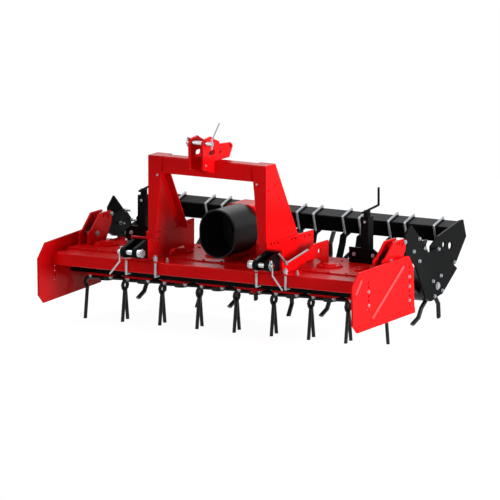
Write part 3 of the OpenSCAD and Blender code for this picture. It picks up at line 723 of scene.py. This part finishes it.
@dataclass
class RollerFrame:
    """Bolts of the roller's frame, nuts of the roller's axle, and nuts of the scrapers' clamps."""

    plate_x: float = 1003.0
    arm_x: float = 971.0
    joint: tuple[float, float] = (388.0, 508.0)
    joint_r: float = 66.0
    axle: tuple[float, float] = (601.0, 264.0)
    axle_r: float = 66.0
    axle_start: float = 57.0
    beam_bolts: tuple[tuple[float, float], ...] = ((796.0, 374.0), (612.0, 480.0))
    scraper_xs: tuple[float, ...] = (55.0, 252.0, 362.0, 559.0, 669.0, 866.0)
    beam: tuple[float, float] = (865.0, 540.0)
    beam_turn: float = 17.0
    clamp_reach: float = 57.3
    foot_low: float = -62.0

    def around(self, centre: tuple[float, float], radius: float, start: float) -> list[tuple[float, float]]:
        """Lists four places round a centre on the side plate."""
        return [(centre[0] + radius * math.cos(math.radians(start + 90 * k)),
                 centre[1] + radius * math.sin(math.radians(start + 90 * k))) for k in range(4)]

    def dress(self, harrow: Harrow) -> None:
        """Adds bolts and nuts."""
        joint = self.around(self.joint, self.joint_r, 0)
        spots = joint + self.around(self.axle, self.axle_r, self.axle_start) + list(self.beam_bolts)
        places = [(at(side * self.plate_x, y, z), outward(side)) for side in SIDES for y, z in spots]
        bolts = Bolting(17.0, 7.5, 11.5, 2.5).row(places, "roller_plate_bolts")
        harrow.keep(bolts, ZINC, "roller_frame")
        backs = [(at(side * self.arm_x, y, z), outward(-side)) for side in SIDES for y, z in joint]
        nuts = Bolting(18.0, 9.0, 11.0, 2.0, 6.0, 22.0).row(backs, "roller_plate_nuts")
        harrow.keep(nuts, ZINC, "roller_frame")
        ends = [(at(side * self.plate_x, *self.axle), outward(side)) for side in SIDES]
        harrow.keep(Bolting(30.0, 8.0, 22.0, 3.0).row(ends, "roller_axle_nuts"), ZINC, "roller")
        tilt = Matrix.Rotation(math.radians(self.beam_turn), 4, "X")
        turned = []
        for x in self.scraper_xs:
            for side in SIDES:
                for reach in (-self.clamp_reach, self.clamp_reach):
                    shift = Vector((0, reach * MM, self.foot_low * MM))
                    spot = at(side * x, *self.beam) + tilt.to_3x3() @ shift
                    turned.append(Matrix.Translation(spot) @ tilt @ Matrix.Rotation(math.pi, 4, "X"))
        piece = Bench.spread(Bolting(18.0, 8.0, 12.5, 2.5).model(), turned, "scraper_clamp_nuts")
        Bench.smooth(piece, 30.0)
        harrow.keep(piece, ZINC, "roller_frame")


@dataclass(frozen=True)
class Lamp:
    """A square soft lamp: place and side in metres, power in watts."""

    name: str
    place: tuple[float, float, float]
    size: float
    watts: float


LAMPS = (
    Lamp("key_lamp", (6.0, -1.0, 1.7), 2.2, 400.0),
    Lamp("front_lamp", (-1.5, -5.0, 2.8), 3.0, 55.0),
    Lamp("rear_lamp", (-2.0, 4.5, 4.0), 3.0, 70.0),
    Lamp("rib_lamp", (4.6, 2.3, 2.2), 0.6, 32.0),
    Lamp("edge_lamp", (-2.4, -0.8, 4.2), 0.4, 45.0),
)


@dataclass
class Studio:
    """Floor, lights, world and camera at the photograph's angle."""

    azimuth: float = 30.0
    elevation: float = 9.7
    view_width: float = 2.910
    camera_away: float = 7.0
    look_at: Vector = field(default_factory=lambda: Vector((-0.041, 0.0, 0.442)))
    floor_side: float = 10.0
    ambient: float = 0.12

    def towards_camera(self) -> Vector:
        """Returns the direction from the machine to the camera."""
        turn, rise = math.radians(self.azimuth), math.radians(self.elevation)
        return Vector((math.sin(turn) * math.cos(rise), -math.cos(turn) * math.cos(rise), math.sin(rise)))

    def hang(self, lamp: Lamp) -> None:
        """Adds one soft lamp that looks at the machine."""
        place = Vector(lamp.place)
        bpy.ops.object.light_add(type="AREA", location=place)
        light = bpy.context.object
        light.name = lamp.name
        light.data.size = lamp.size
        light.data.energy = lamp.watts
        light.rotation_euler = (self.look_at - place).to_track_quat("-Z", "Y").to_euler()

    @staticmethod
    def seen(tree: bpy.types.NodeTree) -> bpy.types.NodeSocket:
        """Returns a value of 1 for rays from the camera and for reflected and refracted ones."""
        path = add_node(tree, "ShaderNodeLightPath")
        level = path.outputs["Is Camera Ray"]
        for name in ("Is Glossy Ray", "Is Transmission Ray"):
            either = add_node(tree, "ShaderNodeMath", {0: level, 1: path.outputs[name]}, operation="MAXIMUM")
            level = either.outputs[0]
        return level

    def floor(self) -> None:
        """Lays a white floor that keeps the machine's shadow."""
        Bench.clear()
        bpy.ops.mesh.primitive_plane_add(size=self.floor_side, location=(0, 0, 0))
        floor = bpy.context.object
        floor.name = "studio_floor"
        material = bpy.data.materials.new("white_paper_floor")
        material.use_nodes = True
        tree = material.node_tree
        tree.nodes.clear()
        matt = add_node(tree, "ShaderNodeBsdfDiffuse", {"Color": srgb("#f4f4f4")})
        glow = add_node(tree, "ShaderNodeEmission", {"Color": srgb("#ffffff"), "Strength": 1.19})
        white = add_node(tree, "ShaderNodeMixShader", {"Fac": 0.8, 1: matt.outputs[0], 2: glow.outputs[0]})
        mix = add_node(tree, "ShaderNodeMixShader",
                       {"Fac": self.seen(tree), 1: matt.outputs[0], 2: white.outputs[0]})
        add_node(tree, "ShaderNodeOutputMaterial", {"Surface": mix.outputs[0]})
        floor.data.materials.append(material)
        floor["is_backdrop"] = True

    def world(self) -> None:
        """Sets a dim even light that looks white to the camera and in reflections."""
        world = bpy.data.worlds.new("studio_world")
        bpy.context.scene.world = world
        world.use_nodes = True
        tree = world.node_tree
        tree.nodes.clear()
        level = add_node(tree, "ShaderNodeMapRange",
                         {"Value": self.seen(tree), "To Min": self.ambient, "To Max": 1.0})
        sky = add_node(tree, "ShaderNodeBackground",
                       {"Color": srgb("#ffffff"), "Strength": level.outputs["Result"]})
        add_node(tree, "ShaderNodeOutputWorld", {"Surface": sky.outputs[0]})

    def set_up(self) -> None:
        """Builds the floor, the lights, the world and the camera."""
        self.floor()
        self.world()
        for lamp in LAMPS:
            self.hang(lamp)
        bpy.ops.object.camera_add(location=self.look_at + self.towards_camera() * self.camera_away)
        camera = bpy.context.object
        camera.name = "photo_camera"
        camera.data.type = "ORTHO"
        camera.data.ortho_scale = self.view_width
        camera.rotation_euler = (-self.towards_camera()).to_track_quat("-Z", "Y").to_euler()
        bpy.context.scene.camera = camera
        bpy.context.scene.view_settings.view_transform = "Standard"


def main() -> None:
    """Builds the scene in order."""
    logging.basicConfig(level=logging.INFO)
    harrow = Harrow()
    Studio().set_up()
    harrow.paint_solids()
    parts = (Trough(), EndPlates(), Headstock(), LinkPins(), Drive(), Jacks(), ArmBrackets(), RollerFrame())
    for part in parts:
        part.dress(harrow)


if __name__ == "__main__":
    main()
